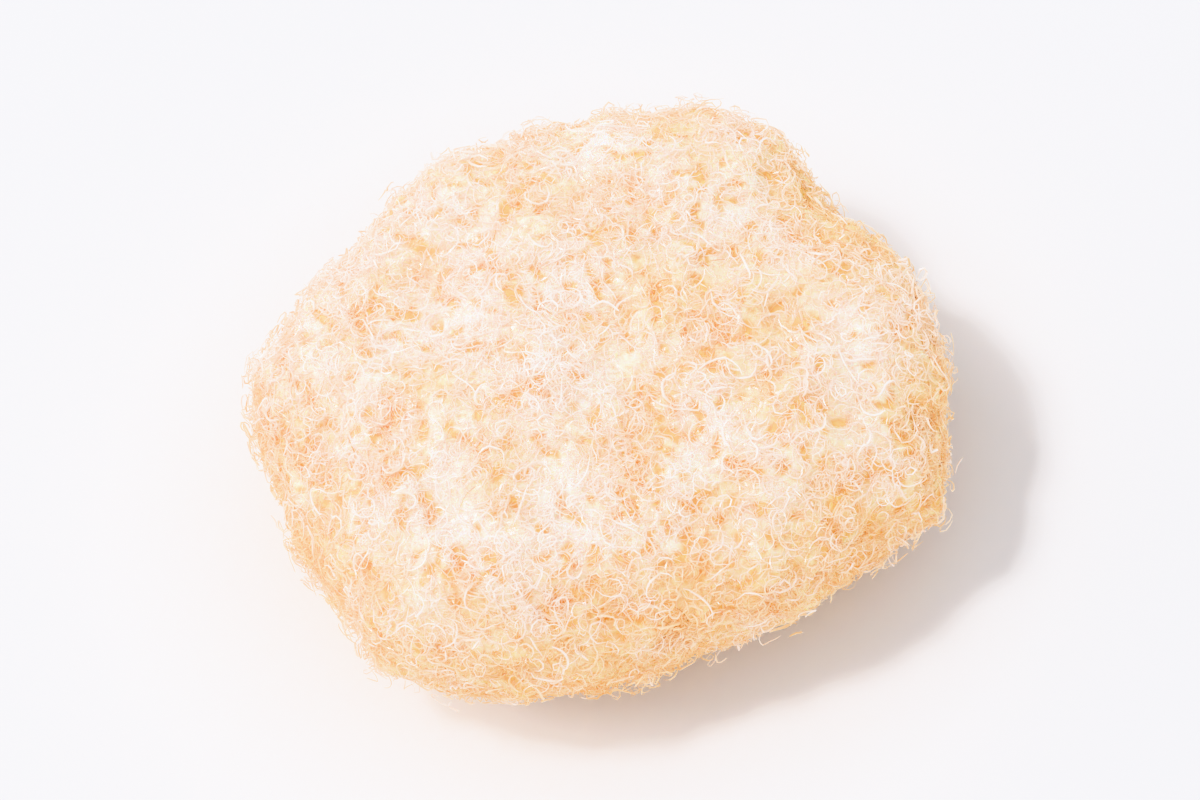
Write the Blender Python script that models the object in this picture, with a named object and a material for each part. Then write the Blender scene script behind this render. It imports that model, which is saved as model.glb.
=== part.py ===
"""One dried edible nest: a puffy oval cake of matted strands that rests on a small flat spot.

+X is the longest way across, +Z is up, and the origin is at the centre of the base.
"""

import math

import bmesh
import bpy
from mathutils import Matrix, Vector, noise

MM = 0.001

# The driving sizes of the finished cake
LENGTH = 56.0 * MM
WIDTH = 49.0 * MM
HEIGHT = 23.0 * MM

# How far the rim reaches from the middle, in millimetres, every 15 degrees from +X towards +Y
RIM_REACH_MM = (
    28.5, 26.8, 24.6, 26.8, 26.8, 25.4, 23.8, 24.0, 25.4, 24.8, 26.8, 28.2,
    29.2, 28.4, 28.2, 30.0, 28.2, 25.8, 25.4, 25.0, 24.6, 26.8, 30.2, 29.4,
)
RIM_STEP = 2 * math.pi / len(RIM_REACH_MM)

# The side view: a domed, flattish top over a rounder underside that is cut off flat
DOME_RISE = 12.4 * MM
DOME_SQUARENESS = 2.75
UNDERSIDE_DROP = 11.4 * MM
UNDERSIDE_SQUARENESS = 2.25
FLAT_SPOT_CUT = 0.8 * MM
RELIEF_STARTS_ABOVE_CUT = 0.3 * MM
RELIEF_IS_WHOLE_ABOVE_CUT = 2.6 * MM

# The relief, from broad clumps down to matted strands: spacing over the surface, and height
CLUMP_SPACING = 13.0 * MM
CLUMP_HEIGHT = 1.5 * MM
TUFT_SPACING = 5.6 * MM
TUFT_HEIGHT = 0.8 * MM
TUFT_ROUNDNESS = 0.45
STRAND_SPACING = 3.6 * MM
STRAND_HEIGHT = 0.7 * MM
STRAND_SHARPNESS = 2.6
STRAND_WANDER = 1.6 * MM
SPIKE_SMOOTHING = 0.3

# Blender's vector noise differs from run to run unless it has a seed
NOISE_SEED = 7

# The mesh: cells across each face of the starting box, and the height of its sides in cells
CELLS_ACROSS = 34
CELLS_UP = 16
SNAP_TO_CUT = 0.05 * MM

STRAND_COLOUR = (0.91, 0.72, 0.50, 1.0)
STRAND_ROUGHNESS = 0.55


def clear_scene():
    for old in list(bpy.data.objects):
        bpy.data.objects.remove(old)


def smooth_step(low, high, value):
    share = min(1.0, max(0.0, (value - low) / (high - low)))
    return share * share * (3 - 2 * share)


def rim_reach(angle):
    """The rim's distance from the middle, on one smooth closed curve through RIM_REACH_MM."""
    place = (angle % (2 * math.pi)) / RIM_STEP
    first = int(place)
    t = place - first
    before, start, end, after = (
        RIM_REACH_MM[(first + k) % len(RIM_REACH_MM)] for k in (-1, 0, 1, 2)
    )
    bend = 2 * before - 5 * start + 4 * end - after
    twist = 3 * (start - end) + after - before
    return MM * (start + 0.5 * t * (end - before + t * (bend + t * twist)))


def cake_point(direction):
    """The smooth cake's point in a direction: an oval with squared shoulders, drawn out to the rim."""
    upper = direction.z > 0
    rise = DOME_RISE if upper else UNDERSIDE_DROP
    squareness = DOME_SQUARENESS if upper else UNDERSIDE_SQUARENESS
    across = math.hypot(direction.x, direction.y)
    stretch = (across**squareness + abs(direction.z) ** squareness) ** (-1 / squareness)
    reach = rim_reach(math.atan2(direction.y, direction.x)) if across > 0 else 0.0
    return Vector(
        (direction.x * reach * stretch, direction.y * reach * stretch, direction.z * rise * stretch)
    )


def clumps(point):
    """Broad lumps where handfuls of strands were pressed together."""
    return CLUMP_HEIGHT * noise.noise(point / CLUMP_SPACING)


def tufts(point):
    """Small pillows with creases between them."""
    nearest, second = noise.voronoi(point / TUFT_SPACING)[0][:2]
    return TUFT_HEIGHT * (smooth_step(0, TUFT_ROUNDNESS, second - nearest) - 0.5)


def strands(point):
    """Winding ridges, like strands that lie over one another."""
    wander = noise.noise_vector(point / (3 * STRAND_SPACING)) * STRAND_WANDER
    wave = noise.noise((point + wander) / STRAND_SPACING)
    ridge = max(0.0, 1 - STRAND_SHARPNESS * abs(wave))
    return STRAND_HEIGHT * (ridge - 0.5)


def relief(point):
    """How far the matted surface stands out from the smooth cake. It fades out at the flat spot."""
    above_cut = point.z + UNDERSIDE_DROP - FLAT_SPOT_CUT
    share = smooth_step(RELIEF_STARTS_ABOVE_CUT, RELIEF_IS_WHOLE_ABOVE_CUT, above_cut)
    return share * (clumps(point) + tufts(point) + strands(point))


def cut_cells(bm, axis, cells):
    """Cuts every edge that runs along an axis into cells."""
    along = [e for e in bm.edges if abs((e.verts[1].co - e.verts[0].co)[axis]) > MM]
    bmesh.ops.subdivide_edges(bm, edges=along, cuts=cells - 1, use_grid_fill=True)


def cake_blank(bm):
    """A box of even cells, drawn out into the smooth cake."""
    bmesh.ops.create_cube(bm, size=2)
    for axis, cells in ((0, CELLS_ACROSS), (1, CELLS_ACROSS), (2, CELLS_UP)):
        cut_cells(bm, axis, cells)
    for vert in bm.verts:
        even = Vector([math.tan(value * math.pi / 4) for value in vert.co])
        vert.co = cake_point(even.normalized())
    bmesh.ops.triangulate(bm, faces=bm.faces[:])


def raise_relief(bm):
    bm.normal_update()
    raised = [vert.co + vert.normal * relief(vert.co) for vert in bm.verts]
    for vert, place in zip(bm.verts, raised):
        vert.co = place
    bmesh.ops.smooth_vert(
        bm, verts=bm.verts[:], factor=SPIKE_SMOOTHING, use_axis_x=True, use_axis_y=True, use_axis_z=True
    )


def cut_flat_spot(bm):
    """Takes the lowest part off level and closes the cut with one flat face."""
    level = FLAT_SPOT_CUT - UNDERSIDE_DROP
    everything = bm.verts[:] + bm.edges[:] + bm.faces[:]
    cut = bmesh.ops.bisect_plane(
        bm,
        geom=everything,
        dist=SNAP_TO_CUT,
        plane_co=(0, 0, level),
        plane_no=(0, 0, -1),
        clear_outer=True,
    )
    rim = [e for e in cut["geom_cut"] if isinstance(e, bmesh.types.BMEdge)]
    for edge in rim:
        for vert in edge.verts:
            vert.co.z = level
    bmesh.ops.contextual_create(bm, geom=rim)
    bmesh.ops.recalc_face_normals(bm, faces=bm.faces[:])


def bring_to_size(bm):
    """Sets the origin at the middle of the base, and the outer size to the driving sizes."""
    low = Vector([min(v.co[k] for v in bm.verts) for k in range(3)])
    high = Vector([max(v.co[k] for v in bm.verts) for k in range(3)])
    base_middle = Vector(((low.x + high.x) / 2, (low.y + high.y) / 2, low.z))
    size = high - low
    scale = Matrix.Diagonal((LENGTH / size.x, WIDTH / size.y, HEIGHT / size.z, 1.0))
    bmesh.ops.transform(bm, matrix=scale @ Matrix.Translation(-base_middle), verts=bm.verts[:])


def dried_strands():
    material = bpy.data.materials.new("dried_nest_strands")
    material.use_nodes = True
    shader = material.node_tree.nodes["Principled BSDF"]
    shader.inputs["Base Color"].default_value = STRAND_COLOUR
    shader.inputs["Roughness"].default_value = STRAND_ROUGHNESS
    shader.inputs["Metallic"].default_value = 0.0
    return material


def nest_cake():
    bm = bmesh.new()
    cake_blank(bm)
    raise_relief(bm)
    cut_flat_spot(bm)
    bring_to_size(bm)
    mesh = bpy.data.meshes.new("nest_cake")
    bm.to_mesh(mesh)
    bm.free()
    mesh.materials.append(dried_strands())
    mesh.shade_smooth()
    cake = bpy.data.objects.new("nest_cake", mesh)
    bpy.context.scene.collection.objects.link(cake)
    return cake


clear_scene()
noise.seed_set(NOISE_SEED)
nest_cake()
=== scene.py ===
"""The looks of one dried edible nest: thousands of curly, translucent strands matted over a denser body."""

import math
from collections import namedtuple

import bmesh
import bpy
import numpy as np
from mathutils import Matrix, Vector, noise
from mathutils.bvhtree import BVHTree


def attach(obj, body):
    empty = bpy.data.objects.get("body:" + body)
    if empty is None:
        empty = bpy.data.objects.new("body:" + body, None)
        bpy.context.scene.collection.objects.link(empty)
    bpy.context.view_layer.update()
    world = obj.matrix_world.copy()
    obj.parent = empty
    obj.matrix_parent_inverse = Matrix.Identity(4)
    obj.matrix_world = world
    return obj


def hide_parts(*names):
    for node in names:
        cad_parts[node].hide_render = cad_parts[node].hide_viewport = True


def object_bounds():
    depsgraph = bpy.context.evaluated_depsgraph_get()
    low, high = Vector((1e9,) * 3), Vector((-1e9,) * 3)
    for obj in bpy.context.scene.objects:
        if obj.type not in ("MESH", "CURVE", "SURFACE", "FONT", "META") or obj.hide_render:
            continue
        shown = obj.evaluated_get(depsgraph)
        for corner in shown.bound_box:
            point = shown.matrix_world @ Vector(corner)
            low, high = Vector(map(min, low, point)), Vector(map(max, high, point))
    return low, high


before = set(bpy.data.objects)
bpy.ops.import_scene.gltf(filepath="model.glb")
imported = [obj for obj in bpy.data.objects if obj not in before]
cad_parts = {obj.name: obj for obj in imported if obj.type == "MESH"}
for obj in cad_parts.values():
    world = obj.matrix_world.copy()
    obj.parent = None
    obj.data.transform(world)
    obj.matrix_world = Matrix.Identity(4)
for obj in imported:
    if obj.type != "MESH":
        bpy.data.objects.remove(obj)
cad_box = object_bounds()

MM = 0.001
CAKE = "nest_cake"
RIDES_ON = "root"

# The strands and Blender's vector noise both start from this, so that every run gives the same cake
SEED = 7

# Where the camera stands, worked out from the photo's perspective. Angles are in degrees, lengths in
# metres, and the sensor's width in millimetres, as a camera takes it.
VIEW_AZIMUTH = 12.0
VIEW_ELEVATION = 63.0
VIEW_ROLL = 19.3
VIEW_DISTANCE = 0.62
FRAME_WIDTH = 96.0 * MM
CLIP_RANGE = (0.01, 10.0)
SENSOR_WIDTH = 36.0

# Each lamp's name, place in metres, side of its square in metres, watts and colour
LAMPS = (
    ("key", (-0.70, 0.30, 0.56), 0.9, 12.0, "#FFFDFC"),
    ("spark", (-0.45, 0.10, 1.0), 0.18, 10.5, "#FFFEFD"),
    ("fill", (0.15, -0.9, 0.22), 0.8, 2.6, "#FFDFC2"),
)
SKY_COLOUR = "#FBFCFF"
SKY_STRENGTH = 0.98
FLOOR_COLOUR = "#DDDEE2"
FLOOR_ROUGHNESS = 0.6
FLOOR_SIDE = 3.0
LIGHT_BOUNCES = 16
DIFFUSE_BOUNCES = 12

# The cake's skin, which the strands follow
MERGE_DISTANCE = 0.01 * MM
SMOOTHING = 0.5
FLOOR_GAP = 0.02 * MM
CAKE_HEIGHT = cad_box[1].z

# The matted body under the loose strands
BODY_INSET = 0.30 * MM
BODY_CUTS = 3
BODY_SMOOTHINGS = 4
RIDGE_SPACING = 1.1 * MM
RIDGE_HEIGHT = 0.25 * MM
RIDGE_WANDER = 0.5 * MM
RIDGE_SHARPNESS = 2.4
RIDGE_FLOOR = -0.6
RIDGE_TONE = 0.08
# The body lies under the strands, so its colour is painted deeper, as painted shade
BODY_PALENESS = 0.42

# Tufts stand up, and small pockets open between the strands, where the body shows.
# The pockets crowd together in some places and are rare in others.
TUFT_SPACING = 3.4 * MM
TUFT_HEIGHT = 0.35 * MM
POCKET_SPACING = 1.15 * MM
POCKET_EDGE = 0.24
POCKET_BLUR = 0.12
POCKET_CROWDING = 0.35
POCKET_CROWD_SPACING = 4.5 * MM
POCKET_DEPTH = 0.12 * MM
POCKET_PUSH = 0.16 * MM
POCKET_REACH = 0.1 * MM

# How far the pocket colour, a painted shade for the warm light deep in a pocket, takes over in it, on the
# body and on the strands that cross it
BODY_POCKET_SHADE = 0.9
STRAND_POCKET_SHADE = 0.3

# Pale clouds and warm patches at random, and painted shade that makes the sides darker towards the bottom,
# starting at these shares of the height
CLOUD_SPACING = 3.2 * MM
CLOUD_TONE = 0.31
PATCH_SPACING = 6.5 * MM
PATCH_TONE = 0.42
SIDE_SHADE_TONE = 0.6
SIDE_SHADE_STARTS = 0.90
SIDE_SHADE_IS_WHOLE = 0.55

# Strands gather in bunches
GATHER_SPACING = 5.0 * MM
GATHER_RANGE = (-0.1, 0.35)

# Each pattern is read a few cells away from the others, so that they don't line up
POCKET_SHIFT = Vector((17, 5, 9))
CROWD_SHIFT = Vector((9, 4, 2))
CLOUD_SHIFT = Vector((13, 1, 7))
PATCH_SHIFT = Vector((3, 8, 1))
GATHER_SHIFT = Vector((5, 2, 11))

# One strand is a thin three-sided prism, bent at its rings, that tapers to both ends. Most are near
# the thin end of their layer's widths.
STRAND_SIDES = 3
STRAND_SEGMENTS = 7
FLATNESS = 0.6
TIP_WIDTH = 0.35
THINNESS = 2

# How a strand wanders as it curls, and how hard it is steered back once it strays from its layer
CURL_JITTER = (0.4, 1.6)
AXIS_WANDER = 0.35
STEEPEST = 0.9
STEER_SHARPNESS = 2
TWIST = 1.2
LOWEST_STRAND = 0.18 * MM

# Strands differ a little in tone, and some are whiter: partly pale strands, and partly painted highlights
# that stand in for glints on glassy strands. Fewer of them grow underneath.
TONE_SPREAD = 0.07
WHITE_SHARE = 0.12
WHITE_AND_HIGHLIGHT_TONE = 0.45
UNDERSIDE_SHARE = 0.6
FACES_DOWN = -0.5

# Each layer has its number of strands, and then from low to high, in millimetres, their height above the
# skin, length, width and curl radius. Lift is how far they curl out of the surface. Paleness is painted:
# low on the deep layers as painted shade and high on the top ones as painted highlight. Gather is how far
# they bunch.
Layer = namedtuple("Layer", "name count heights lengths widths curls lift paleness gather")
LAYERS = (
    Layer("deep_strands", 3300, (-0.30, -0.12), (2.4, 4.6), (0.12, 0.26), (0.8, 3.0), 0.1, 0.45, 0.0),
    Layer("mat_strands_a", 4000, (-0.25, 0.0), (2.0, 4.4), (0.10, 0.22), (0.6, 2.4), 0.2, 0.60, 0.2),
    Layer("mat_strands_b", 4400, (-0.25, 0.0), (2.0, 4.4), (0.09, 0.20), (0.5, 2.0), 0.3, 0.65, 0.2),
    Layer("mat_strands_c", 4400, (-0.20, 0.2), (1.8, 3.6), (0.09, 0.20), (0.5, 1.4), 0.5, 0.72, 0.3),
    Layer("surface_curls", 3500, (-0.10, 0.5), (1.8, 3.8), (0.09, 0.24), (0.4, 1.0), 1.0, 0.85, 0.4),
    Layer("frizz", 2650, (-0.20, 1.2), (2.0, 4.0), (0.09, 0.20), (0.35, 0.8), 1.5, 0.85, 1.0),
    Layer("bright_strands", 400, (0.05, 0.6), (2.6, 5.0), (0.18, 0.30), (0.5, 1.4), 0.8, 1.15, 0.2),
)
STAINED_LAYER = Layer(
    "stained_strands", 70, (-0.10, 0.3), (1.6, 3.6), (0.07, 0.15), (0.8, 2.4), 0.4, 0.50, 1.0
)

# Paleness picks the colour: deep strands take the deeper end as painted shade, and thin ones at the top
# that catch the light take the pale end as painted highlight
PALE_COLOURS = (
    (0.0, "#FDE1AE"), (0.25, "#FDE9C8"), (0.55, "#FEF0E1"), (0.8, "#FFF5EE"), (1.0, "#FFFCFA"),
)
STAINED_COLOURS = ((0.0, "#A8703F"), (0.5, "#C8935F"), (1.0, "#E0B98C"))
# The pocket colour is painted shade: the warm, deep tone of light far down in a pocket
POCKET_SHADE_COLOUR = "#FDCE7A"

# Dried saliva is mottled every 0.1 mm or so, drawn here at 0.45 mm to show. Noise lies mostly in
# its middle range.
MOTTLE_SPACING = 0.45 * MM
MOTTLE_DETAIL = 3.0
MOTTLE_ROUGHNESS = 0.6
MOTTLE_TONE = 0.08
NOISE_MIDDLE = (0.3, 0.7)
ROUGHNESS_RANGE = (0.05, 0.30)
SALIVA_IOR = 1.5

# Matched to the photo's glints, so above the level of 0.5 that goes with this IOR
SALIVA_SHINE = 1.0

# A colour mix's sockets go by number, because its other kinds share their names
MIX_SHARE, MIX_FIRST, MIX_SECOND, MIX_RESULT = 0, 6, 7, 2

# Light goes further into the body than into a strand, and red light the furthest
GLOW_DEPTH = 0.8 * MM
GLOW_REACH = (1.0, 0.85, 0.7)

# The net of threads stuck to the body: real cells are 0.5 to 1.5 mm across
NET_SPACING = 0.9 * MM
NET_WANDER = 0.8 * MM
NET_WANDER_SPACING = 1.3 * MM
NET_WANDER_DETAIL = 2.0
NET_THREAD = (0.02, 0.32)
NET_TONE = 0.12
NET_HEIGHT = 0.12 * MM
NET_BUMP = 0.5


def srgb(code):
    """A colour written as sRGB hex, as the linear values that a shader takes."""
    parts = [int(code[k:k + 2], 16) / 255 for k in (1, 3, 5)]
    return (*[c / 12.92 if c <= 0.04045 else ((c + 0.055) / 1.055) ** 2.4 for c in parts], 1.0)


def add_node(tree, kind, settings=None, inputs=None):
    """Adds a node, with its settings, and with each input set to a value or linked to a socket."""
    node = tree.nodes.new(kind)
    for name, value in (settings or {}).items():
        setattr(node, name, value)
    for name, value in (inputs or {}).items():
        if isinstance(value, bpy.types.NodeSocket):
            tree.links.new(value, node.inputs[name])
        else:
            node.inputs[name].default_value = value
    return node


def new_object(name, data):
    piece = bpy.data.objects.new(name, data)
    bpy.context.scene.collection.objects.link(piece)
    return piece


def smooth_step(low, high, value):
    share = min(1.0, max(0.0, (value - low) / (high - low)))
    return share * share * (3 - 2 * share)


def unit(rows):
    return rows / np.maximum(np.linalg.norm(rows, axis=-1, keepdims=True), 1e-12)


def squared(ways, others):
    """Each way made square to another way, with a length of one."""
    return unit(ways - others * (ways * others).sum(-1, keepdims=True))


def turned(ways, axes, angles):
    """Each way turned about an axis that is square to it."""
    return ways * np.cos(angles)[..., None] + np.cross(axes, ways) * np.sin(angles)[..., None]


def at_each(pattern, points):
    """A pattern's value at each of an array's points."""
    values = [pattern(Vector(point)) for point in points.reshape(-1, 3)]
    return np.array(values).reshape(points.shape[:-1])


def pocket_noise(point):
    """Highest in the middle of a pocket, and higher all round where pockets crowd together."""
    crowd = POCKET_CROWDING * noise.noise(point / POCKET_CROWD_SPACING + CROWD_SHIFT)
    return noise.noise(point / POCKET_SPACING + POCKET_SHIFT) + crowd


def pocket(point):
    """How far a point is into a pocket, from 0 to 1."""
    return smooth_step(POCKET_EDGE - POCKET_BLUR, POCKET_EDGE + POCKET_BLUR, pocket_noise(point))


def ways_out_of_pockets(points):
    """The way out of the pocket at each point, longer the further in it is, and nothing elsewhere."""
    steps = [Vector([POCKET_REACH if k == axis else 0.0 for k in range(3)]) for axis in range(3)]
    ways = np.zeros_like(points)
    for row, values in enumerate(points):
        point = Vector(values)
        here = pocket_noise(point)
        depth = smooth_step(POCKET_EDGE - 2 * POCKET_BLUR, POCKET_EDGE, here)
        if depth > 0:
            slope = np.array([pocket_noise(point + step) - here for step in steps])
            ways[row] = -unit(slope) * depth
    return ways


def mat_height(point):
    """How far the mat stands up in tufts, or sinks into pockets."""
    return noise.noise(point / TUFT_SPACING) * TUFT_HEIGHT - POCKET_DEPTH * pocket(point)


def mat_tone_and_shade(point):
    """How much paler or deeper the mat is at a point than its usual colour: pale clouds and warm patches at
    random, and painted shade that deepens it towards the bottom.
    """
    cloud = CLOUD_TONE * noise.noise(point / CLOUD_SPACING + CLOUD_SHIFT)
    patch = PATCH_TONE * noise.noise(point / PATCH_SPACING + PATCH_SHIFT)
    # Painted shade: the sides deepen in colour towards the bottom
    side = SIDE_SHADE_TONE * (1 - smooth_step(SIDE_SHADE_IS_WHOLE, SIDE_SHADE_STARTS, point.z / CAKE_HEIGHT))
    return cloud + patch - side


def gathering(point):
    """Where strands bunch together, from 0 to 1."""
    return smooth_step(*GATHER_RANGE, noise.noise(point / GATHER_SPACING + GATHER_SHIFT))


def set_values(mesh, name, values):
    """Keeps a value from 0 to 1 at each of a mesh's points, for its material to read."""
    kept = mesh.attributes.new(name, "FLOAT", "POINT")
    kept.data.foreach_set("value", np.clip(values, 0, 1).astype(np.float32).ravel())


def dried_saliva(name, colours, net=False):
    """Dried swiftlet saliva: a clear, brittle protein that was drawn out in wet strands. It is a pale
    peach, with painted shade that makes it deeper in colour where light would have passed through more of
    it. Its surface is glassy in some places and dull in others, so it glints here and there."""
    material = bpy.data.materials.new(name)
    material.use_nodes = True
    tree = material.node_tree
    shader = tree.nodes["Principled BSDF"]
    place = add_node(tree, "ShaderNodeTexCoord").outputs["Object"]
    paleness = add_node(tree, "ShaderNodeAttribute", {"attribute_name": "paleness"}).outputs["Fac"]
    pocket_shade = add_node(tree, "ShaderNodeAttribute", {"attribute_name": "pocket_shade"}).outputs["Fac"]

    mottle = add_node(tree, "ShaderNodeTexNoise", inputs={
        "Vector": place, "Scale": 1 / MOTTLE_SPACING,
        "Detail": MOTTLE_DETAIL, "Roughness": MOTTLE_ROUGHNESS,
    })
    speckle = add_node(tree, "ShaderNodeMapRange", inputs={
        "Value": mottle.outputs["Fac"], "From Min": NOISE_MIDDLE[0], "From Max": NOISE_MIDDLE[1],
        "To Min": -MOTTLE_TONE, "To Max": MOTTLE_TONE,
    })
    gloss = add_node(tree, "ShaderNodeMapRange", inputs={
        "Value": mottle.outputs["Fac"], "From Min": NOISE_MIDDLE[0], "From Max": NOISE_MIDDLE[1],
        "To Min": ROUGHNESS_RANGE[0], "To Max": ROUGHNESS_RANGE[1],
    })
    tone = add_node(tree, "ShaderNodeMath", {"operation": "ADD"}, {
        0: paleness, 1: speckle.outputs["Result"],
    })
    if net:
        threads = net_of_threads(tree, place, shader)
        tone = add_node(tree, "ShaderNodeMath", {"operation": "ADD"}, {0: tone.outputs[0], 1: threads})

    ramp = add_node(tree, "ShaderNodeValToRGB", inputs={"Fac": tone.outputs[0]})
    elements = ramp.color_ramp.elements
    while len(elements) < len(colours):
        elements.new(0.5)
    for element, (position, code) in zip(elements, colours):
        element.position = position
        element.color = srgb(code)
    # The pocket colour is mixed in as painted shade
    colour = add_node(tree, "ShaderNodeMix", {"data_type": "RGBA"}, {
        MIX_SHARE: pocket_shade, MIX_FIRST: ramp.outputs["Color"], MIX_SECOND: srgb(POCKET_SHADE_COLOUR),
    })
    tree.links.new(colour.outputs[MIX_RESULT], shader.inputs["Base Color"])
    tree.links.new(gloss.outputs["Result"], shader.inputs["Roughness"])
    shader.inputs["IOR"].default_value = SALIVA_IOR
    shader.inputs["Specular IOR Level"].default_value = SALIVA_SHINE
    return material


def net_of_threads(tree, place, shader):
    """Pale threads stuck to the body round small cells. They stand up from it a little, and the tone that
    this gives is high on a thread."""
    wander = add_node(tree, "ShaderNodeTexNoise", inputs={
        "Vector": place, "Scale": 1 / NET_WANDER_SPACING, "Detail": NET_WANDER_DETAIL,
    })
    shifted = add_node(tree, "ShaderNodeVectorMath", {"operation": "MULTIPLY_ADD"}, {
        0: wander.outputs["Color"], 1: (NET_WANDER,) * 3, 2: place,
    })
    cells = add_node(tree, "ShaderNodeTexVoronoi", {"feature": "DISTANCE_TO_EDGE"}, {
        "Vector": shifted.outputs[0], "Scale": 1 / NET_SPACING,
    })
    thread = add_node(tree, "ShaderNodeMapRange", inputs={
        "Value": cells.outputs["Distance"], "From Min": NET_THREAD[0], "From Max": NET_THREAD[1],
        "To Min": NET_TONE, "To Max": -NET_TONE,
    })
    bump = add_node(tree, "ShaderNodeBump", inputs={
        "Height": thread.outputs["Result"], "Strength": NET_BUMP, "Distance": NET_HEIGHT,
    })
    tree.links.new(bump.outputs["Normal"], shader.inputs["Normal"])
    return thread.outputs["Result"]


def strand_material():
    """Loose strands, thin enough that light passes on from one to the next."""
    return dried_saliva("dried_nest_strand", PALE_COLOURS)


def stained_material():
    """The few strands that a feather or the cave wall stained brown."""
    return dried_saliva("stained_nest_strand", STAINED_COLOURS)


def body_material():
    """Strands that dried stuck together, deep enough for light to spread inside and come out warmer."""
    material = dried_saliva("matted_nest_body", PALE_COLOURS, net=True)
    shader = material.node_tree.nodes["Principled BSDF"]
    shader.inputs["Subsurface Weight"].default_value = 1.0
    shader.inputs["Subsurface Radius"].default_value = GLOW_REACH
    shader.inputs["Subsurface Scale"].default_value = GLOW_DEPTH
    return material


def clean_copy(node):
    """The cake's own mesh, merged into one skin of triangles."""
    bm = bmesh.new()
    bm.from_mesh(node.data)
    bmesh.ops.remove_doubles(bm, verts=bm.verts, dist=MERGE_DISTANCE)
    bmesh.ops.triangulate(bm, faces=bm.faces[:])
    return bm


def smooth(bm, times):
    for _ in range(times):
        bmesh.ops.smooth_vert(
            bm, verts=bm.verts[:], factor=SMOOTHING, use_axis_x=True, use_axis_y=True, use_axis_z=True
        )
    bm.normal_update()


def body_ridge(point):
    """Highest along winding ridges, like those of strands that have stuck together."""
    wander = noise.noise_vector(point / RIDGE_SPACING) * RIDGE_WANDER
    return 1 - RIDGE_SHARPNESS * abs(noise.noise((point + wander) / RIDGE_SPACING))


def matted_body(node, material):
    """The matted body, which shows in the pockets between the strands."""
    bm = clean_copy(node)
    bmesh.ops.subdivide_edges(bm, edges=bm.edges[:], cuts=BODY_CUTS, use_grid_fill=True)
    smooth(bm, BODY_SMOOTHINGS)
    paleness, pocket_shade = [], []
    for vert in bm.verts:
        point = vert.co.copy()
        ridge = body_ridge(point)
        height = RIDGE_HEIGHT * (max(ridge, RIDGE_FLOOR) - 0.5) + mat_height(point)
        vert.co += vert.normal * (height - BODY_INSET)
        vert.co.z = max(vert.co.z, FLOOR_GAP)
        paleness.append(BODY_PALENESS + RIDGE_TONE * ridge + mat_tone_and_shade(point))
        # Painted shade in the pockets
        pocket_shade.append(BODY_POCKET_SHADE * pocket(point))
    mesh = bpy.data.meshes.new("matted_body")
    bm.to_mesh(mesh)
    bm.free()
    mesh.shade_smooth()
    set_values(mesh, "paleness", paleness)
    set_values(mesh, "pocket_shade", pocket_shade)
    mesh.materials.append(material)
    return new_object("matted_body", mesh)


def strand_template():
    """One straight strand: a thin prism cut into rings. Gives points (along, across, up) and triangles."""
    bm = bmesh.new()
    bmesh.ops.create_cone(
        bm, cap_ends=True, segments=STRAND_SIDES, radius1=1, radius2=1, depth=1,
        matrix=Matrix.Translation((0, 0, 0.5)),
    )
    along = [e for e in bm.edges if abs(e.verts[0].co.z - e.verts[1].co.z) > 0.5]
    bmesh.ops.subdivide_edges(bm, edges=along, cuts=STRAND_SEGMENTS - 1)
    bmesh.ops.triangulate(bm, faces=bm.faces[:])
    bmesh.ops.recalc_face_normals(bm, faces=bm.faces[:])
    points = np.array([(v.co.z, v.co.x, v.co.y) for v in bm.verts])
    faces = np.array([[v.index for v in f.verts] for f in bm.faces])
    bm.free()
    return points, faces


def scattered_roots(skin, layer, rng):
    """Points spread over the skin by area, fewer of them underneath, and gathered as the layer says."""
    faces = skin.faces[:]
    corners = np.array([[v.co for v in f.verts] for f in faces])
    areas = np.array([
        f.calc_area() * (UNDERSIDE_SHARE if f.normal.z < FACES_DOWN else 1.0) for f in faces
    ])
    bunched = at_each(gathering, corners.mean(axis=1))
    shares = areas * (1 - layer.gather + layer.gather * bunched)
    chosen = rng.choice(len(faces), layer.count, p=shares / shares.sum())
    mix = rng.dirichlet((1, 1, 1), layer.count)
    return np.einsum("nk,nkj->nj", mix, corners[chosen])


def nearest_on(skin_tree, points):
    """The nearest place on the skin to each point, and the way out there."""
    found = [skin_tree.find_nearest(point)[:2] for point in points]
    return np.array([place for place, way in found]), np.array([way for place, way in found])


def steered(heading, outward, height, layer):
    """Turns a heading back towards the layer's own heights, the more the further it has strayed."""
    low, high = (value * MM for value in layer.heights)
    astray = (height - (low + high) / 2) / (high - low)
    wanted = np.clip(-astray, -STEEPEST, STEEPEST)
    pull = np.clip(np.abs(astray), 0, 1) ** STEER_SHARPNESS
    rise = (heading * outward).sum(1)
    return unit(heading + outward * (pull * (wanted - rise))[:, None])


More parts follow.
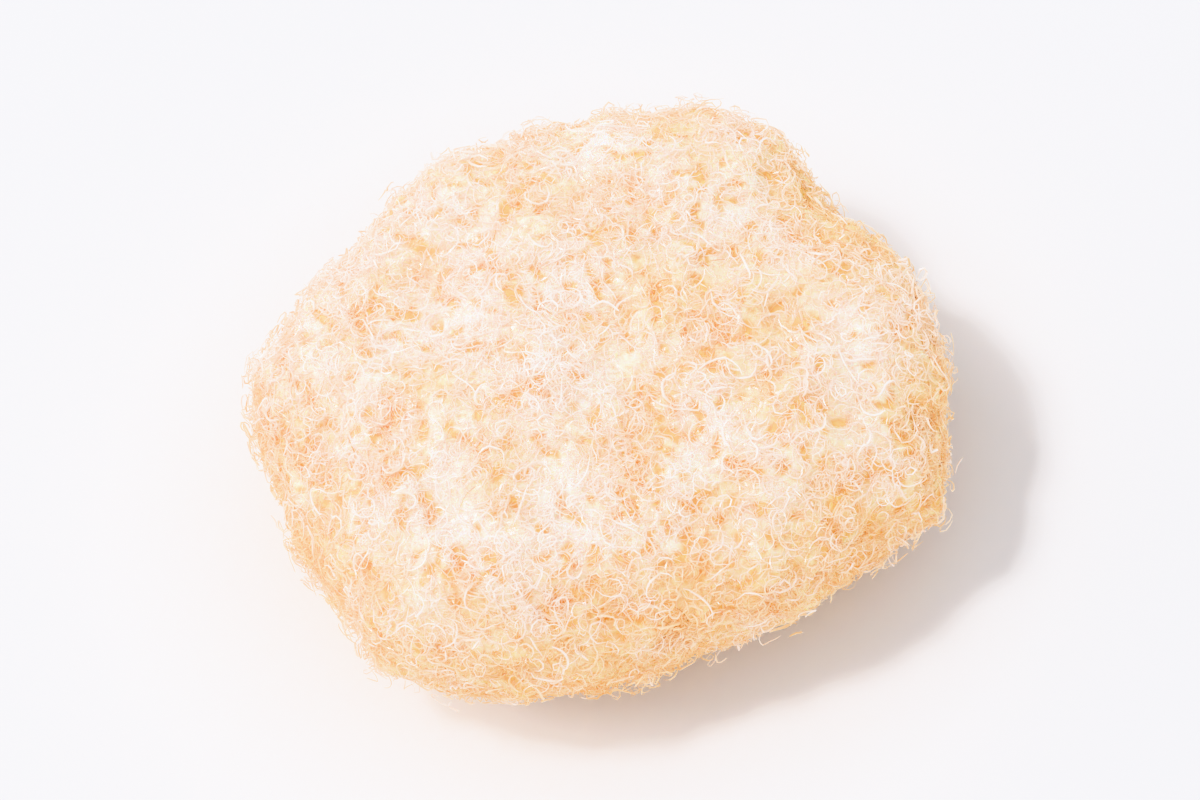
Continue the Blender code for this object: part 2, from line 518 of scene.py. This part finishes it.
def walk_strands(skin_tree, roots, layer, rng):
    """Walks each strand along as it curls. Gives the places of its rings, and the way out of the skin."""
    place, outward = nearest_on(skin_tree, roots)
    place = place + outward * rng.uniform(*layer.heights, layer.count)[:, None] * MM
    place[:, 2] = np.maximum(place[:, 2], LOWEST_STRAND)
    step = rng.uniform(*layer.lengths, layer.count) * MM / STRAND_SEGMENTS
    angle = step / (rng.uniform(*layer.curls, layer.count) * MM)
    heading = unit(np.cross(outward, rng.normal(size=(layer.count, 3))))
    axis = outward * rng.choice((-1, 1), layer.count)[:, None]
    axis = axis + layer.lift * rng.normal(size=(layer.count, 3))
    places, ways_out = [], []
    for ring in range(STRAND_SEGMENTS + 1):
        places.append(place)
        ways_out.append(outward)
        axis = squared(axis, heading)
        heading = turned(heading, axis, angle * rng.uniform(*CURL_JITTER, layer.count))
        axis = axis + AXIS_WANDER * rng.normal(size=(layer.count, 3))
        place = place + POCKET_PUSH * ways_out_of_pockets(place)
        ahead = place + heading * step[:, None]
        on_skin, outward = nearest_on(skin_tree, ahead)
        height = ((ahead - on_skin) * outward).sum(1) - at_each(mat_height, on_skin)
        heading = steered(heading, outward, height, layer)
        place = place + heading * step[:, None]
        place[:, 2] = np.maximum(place[:, 2], LOWEST_STRAND)
    return np.array(places), np.array(ways_out)


def ways_across(places, ways_out, rng):
    """The two ways across each strand at each of its rings, carried along it with a slow twist."""
    tangents = unit(np.gradient(places, axis=0))
    side = np.cross(tangents[0], ways_out[0])
    sides = []
    for tangent in tangents:
        side = squared(side, tangent)
        sides.append(side)
    count = places.shape[1]
    along = np.linspace(0, 1, len(places))[:, None]
    twist = rng.uniform(-TWIST, TWIST, count) + along * rng.normal(0, TWIST, count)
    sides = turned(np.array(sides), tangents, twist)
    return sides, np.cross(sides, tangents)


def joined_mesh(name, points, faces):
    """One mesh of many copies of a closed shape, from each copy's points and the triangles they share."""
    copies, size = points.shape[:2]
    corners = (np.arange(copies)[:, None, None] * size + faces).astype(np.int32).ravel()
    mesh = bpy.data.meshes.new(name)
    mesh.vertices.add(copies * size)
    mesh.vertices.foreach_set("co", points.astype(np.float32).ravel())
    mesh.loops.add(len(corners))
    mesh.loops.foreach_set("vertex_index", corners)
    mesh.polygons.add(len(corners) // 3)
    mesh.polygons.foreach_set("loop_start", np.arange(0, len(corners), 3, dtype=np.int32))
    mesh.update(calc_edges=True)
    mesh.shade_flat()
    return mesh


def bent_copies(points, ring, places, ways_out, layer, rng):
    """The straight strand's points once for each strand, bent along its places and tapered."""
    side, rise = ways_across(places, ways_out, rng)
    low, high = (value * MM / 2 for value in layer.widths)
    radius = low + (high - low) * rng.random(layer.count) ** THINNESS
    taper = TIP_WIDTH + (1 - TIP_WIDTH) * np.sin(math.pi * points[:, 0])
    across = (points[:, 1] * taper)[:, None] * radius
    up = (points[:, 2] * taper)[:, None] * radius * FLATNESS
    bent = places[ring] + side[ring] * across[..., None] + rise[ring] * up[..., None]
    bent[..., 2] = np.maximum(bent[..., 2], FLOOR_GAP)
    return bent.transpose(1, 0, 2)


def strand_piece(skin_tree, skin, layer, template, material, rng):
    """All of a layer's strands, as one mesh of many thin closed strands."""
    places, ways_out = walk_strands(skin_tree, scattered_roots(skin, layer, rng), layer, rng)
    points, faces = template
    ring = np.rint(points[:, 0] * STRAND_SEGMENTS).astype(int)
    mesh = joined_mesh(layer.name, bent_copies(points, ring, places, ways_out, layer, rng), faces)
    # Some strands are painted whiter, partly as painted highlights
    white = np.where(rng.random(layer.count) < WHITE_SHARE, WHITE_AND_HIGHLIGHT_TONE, 0.0)
    # A layer's paleness is painted shade low down and painted highlight on top
    paleness = rng.normal(layer.paleness, TONE_SPREAD, layer.count) + white + at_each(mat_tone_and_shade, places)
    # Painted shade where a strand crosses a pocket
    pocket_shade = STRAND_POCKET_SHADE * at_each(pocket, places)
    set_values(mesh, "paleness", paleness[ring].T)
    set_values(mesh, "pocket_shade", pocket_shade[ring].T)
    mesh.materials.append(material)
    return new_object(layer.name, mesh)


def make_camera(low, high):
    """Looks at the middle of the cake from the photo's angle, a little turned about the line of sight."""
    azimuth, elevation = math.radians(VIEW_AZIMUTH), math.radians(VIEW_ELEVATION)
    back = Vector((
        math.sin(azimuth) * math.cos(elevation),
        -math.cos(azimuth) * math.cos(elevation),
        math.sin(elevation),
    ))
    data = bpy.data.cameras.new("camera")
    data.sensor_width = SENSOR_WIDTH
    data.lens = SENSOR_WIDTH * VIEW_DISTANCE / FRAME_WIDTH
    data.clip_start, data.clip_end = CLIP_RANGE
    camera = new_object("camera", data)
    level = (-back).to_track_quat("-Z", "Y").to_matrix().to_4x4()
    rolled = level @ Matrix.Rotation(-math.radians(VIEW_ROLL), 4, "Z")
    camera.matrix_world = Matrix.Translation((low + high) / 2 + back * VIEW_DISTANCE) @ rolled
    bpy.context.scene.camera = camera


def make_floor():
    """Matt white card, which scatters light evenly."""
    bm = bmesh.new()
    bmesh.ops.create_grid(bm, x_segments=1, y_segments=1, size=FLOOR_SIDE / 2)
    mesh = bpy.data.meshes.new("floor")
    bm.to_mesh(mesh)
    bm.free()
    material = bpy.data.materials.new("matt_card")
    material.use_nodes = True
    shader = material.node_tree.nodes["Principled BSDF"]
    shader.inputs["Base Color"].default_value = srgb(FLOOR_COLOUR)
    shader.inputs["Roughness"].default_value = FLOOR_ROUGHNESS
    mesh.materials.append(material)
    new_object("floor", mesh)


def make_light():
    """Soft studio lamps round the cake, under a pale sky."""
    for name, place, side, watts, colour in LAMPS:
        data = bpy.data.lights.new(name, "AREA")
        data.shape = "SQUARE"
        data.size, data.energy, data.color = side, watts, srgb(colour)[:3]
        lamp = new_object(name, data)
        lamp.location = place
        lamp.rotation_euler = (-Vector(place)).to_track_quat("-Z", "Y").to_euler()
    world = bpy.data.worlds.new("studio")
    world.use_nodes = True
    sky = world.node_tree.nodes["Background"]
    sky.inputs["Color"].default_value = srgb(SKY_COLOUR)
    sky.inputs["Strength"].default_value = SKY_STRENGTH
    bpy.context.scene.world = world


def set_exposure():
    """A camera's soft shoulder, which keeps the colour of bright strands, and enough bounces for light to
    find its way between strands this pale."""
    scene = bpy.context.scene
    scene.view_settings.view_transform = "Khronos PBR Neutral"
    scene.cycles.max_bounces = LIGHT_BOUNCES
    scene.cycles.diffuse_bounces = DIFFUSE_BOUNCES


def make_nest(cake):
    """The body and all the strands, which stand for the cake together."""
    rng = np.random.default_rng(SEED)
    noise.seed_set(SEED)
    skin = clean_copy(cake)
    smooth(skin, 1)
    skin_tree = BVHTree.FromBMesh(skin)
    template = strand_template()
    strand_look = strand_material()
    pieces = [matted_body(cake, body_material())]
    for layer in LAYERS:
        pieces.append(strand_piece(skin_tree, skin, layer, template, strand_look, rng))
    pieces.append(strand_piece(skin_tree, skin, STAINED_LAYER, template, stained_material(), rng))
    skin.free()
    for piece in pieces:
        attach(piece, RIDES_ON)
        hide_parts(CAKE)


make_camera(*cad_box)
make_floor()
make_light()
set_exposure()
make_nest(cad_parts[CAKE])
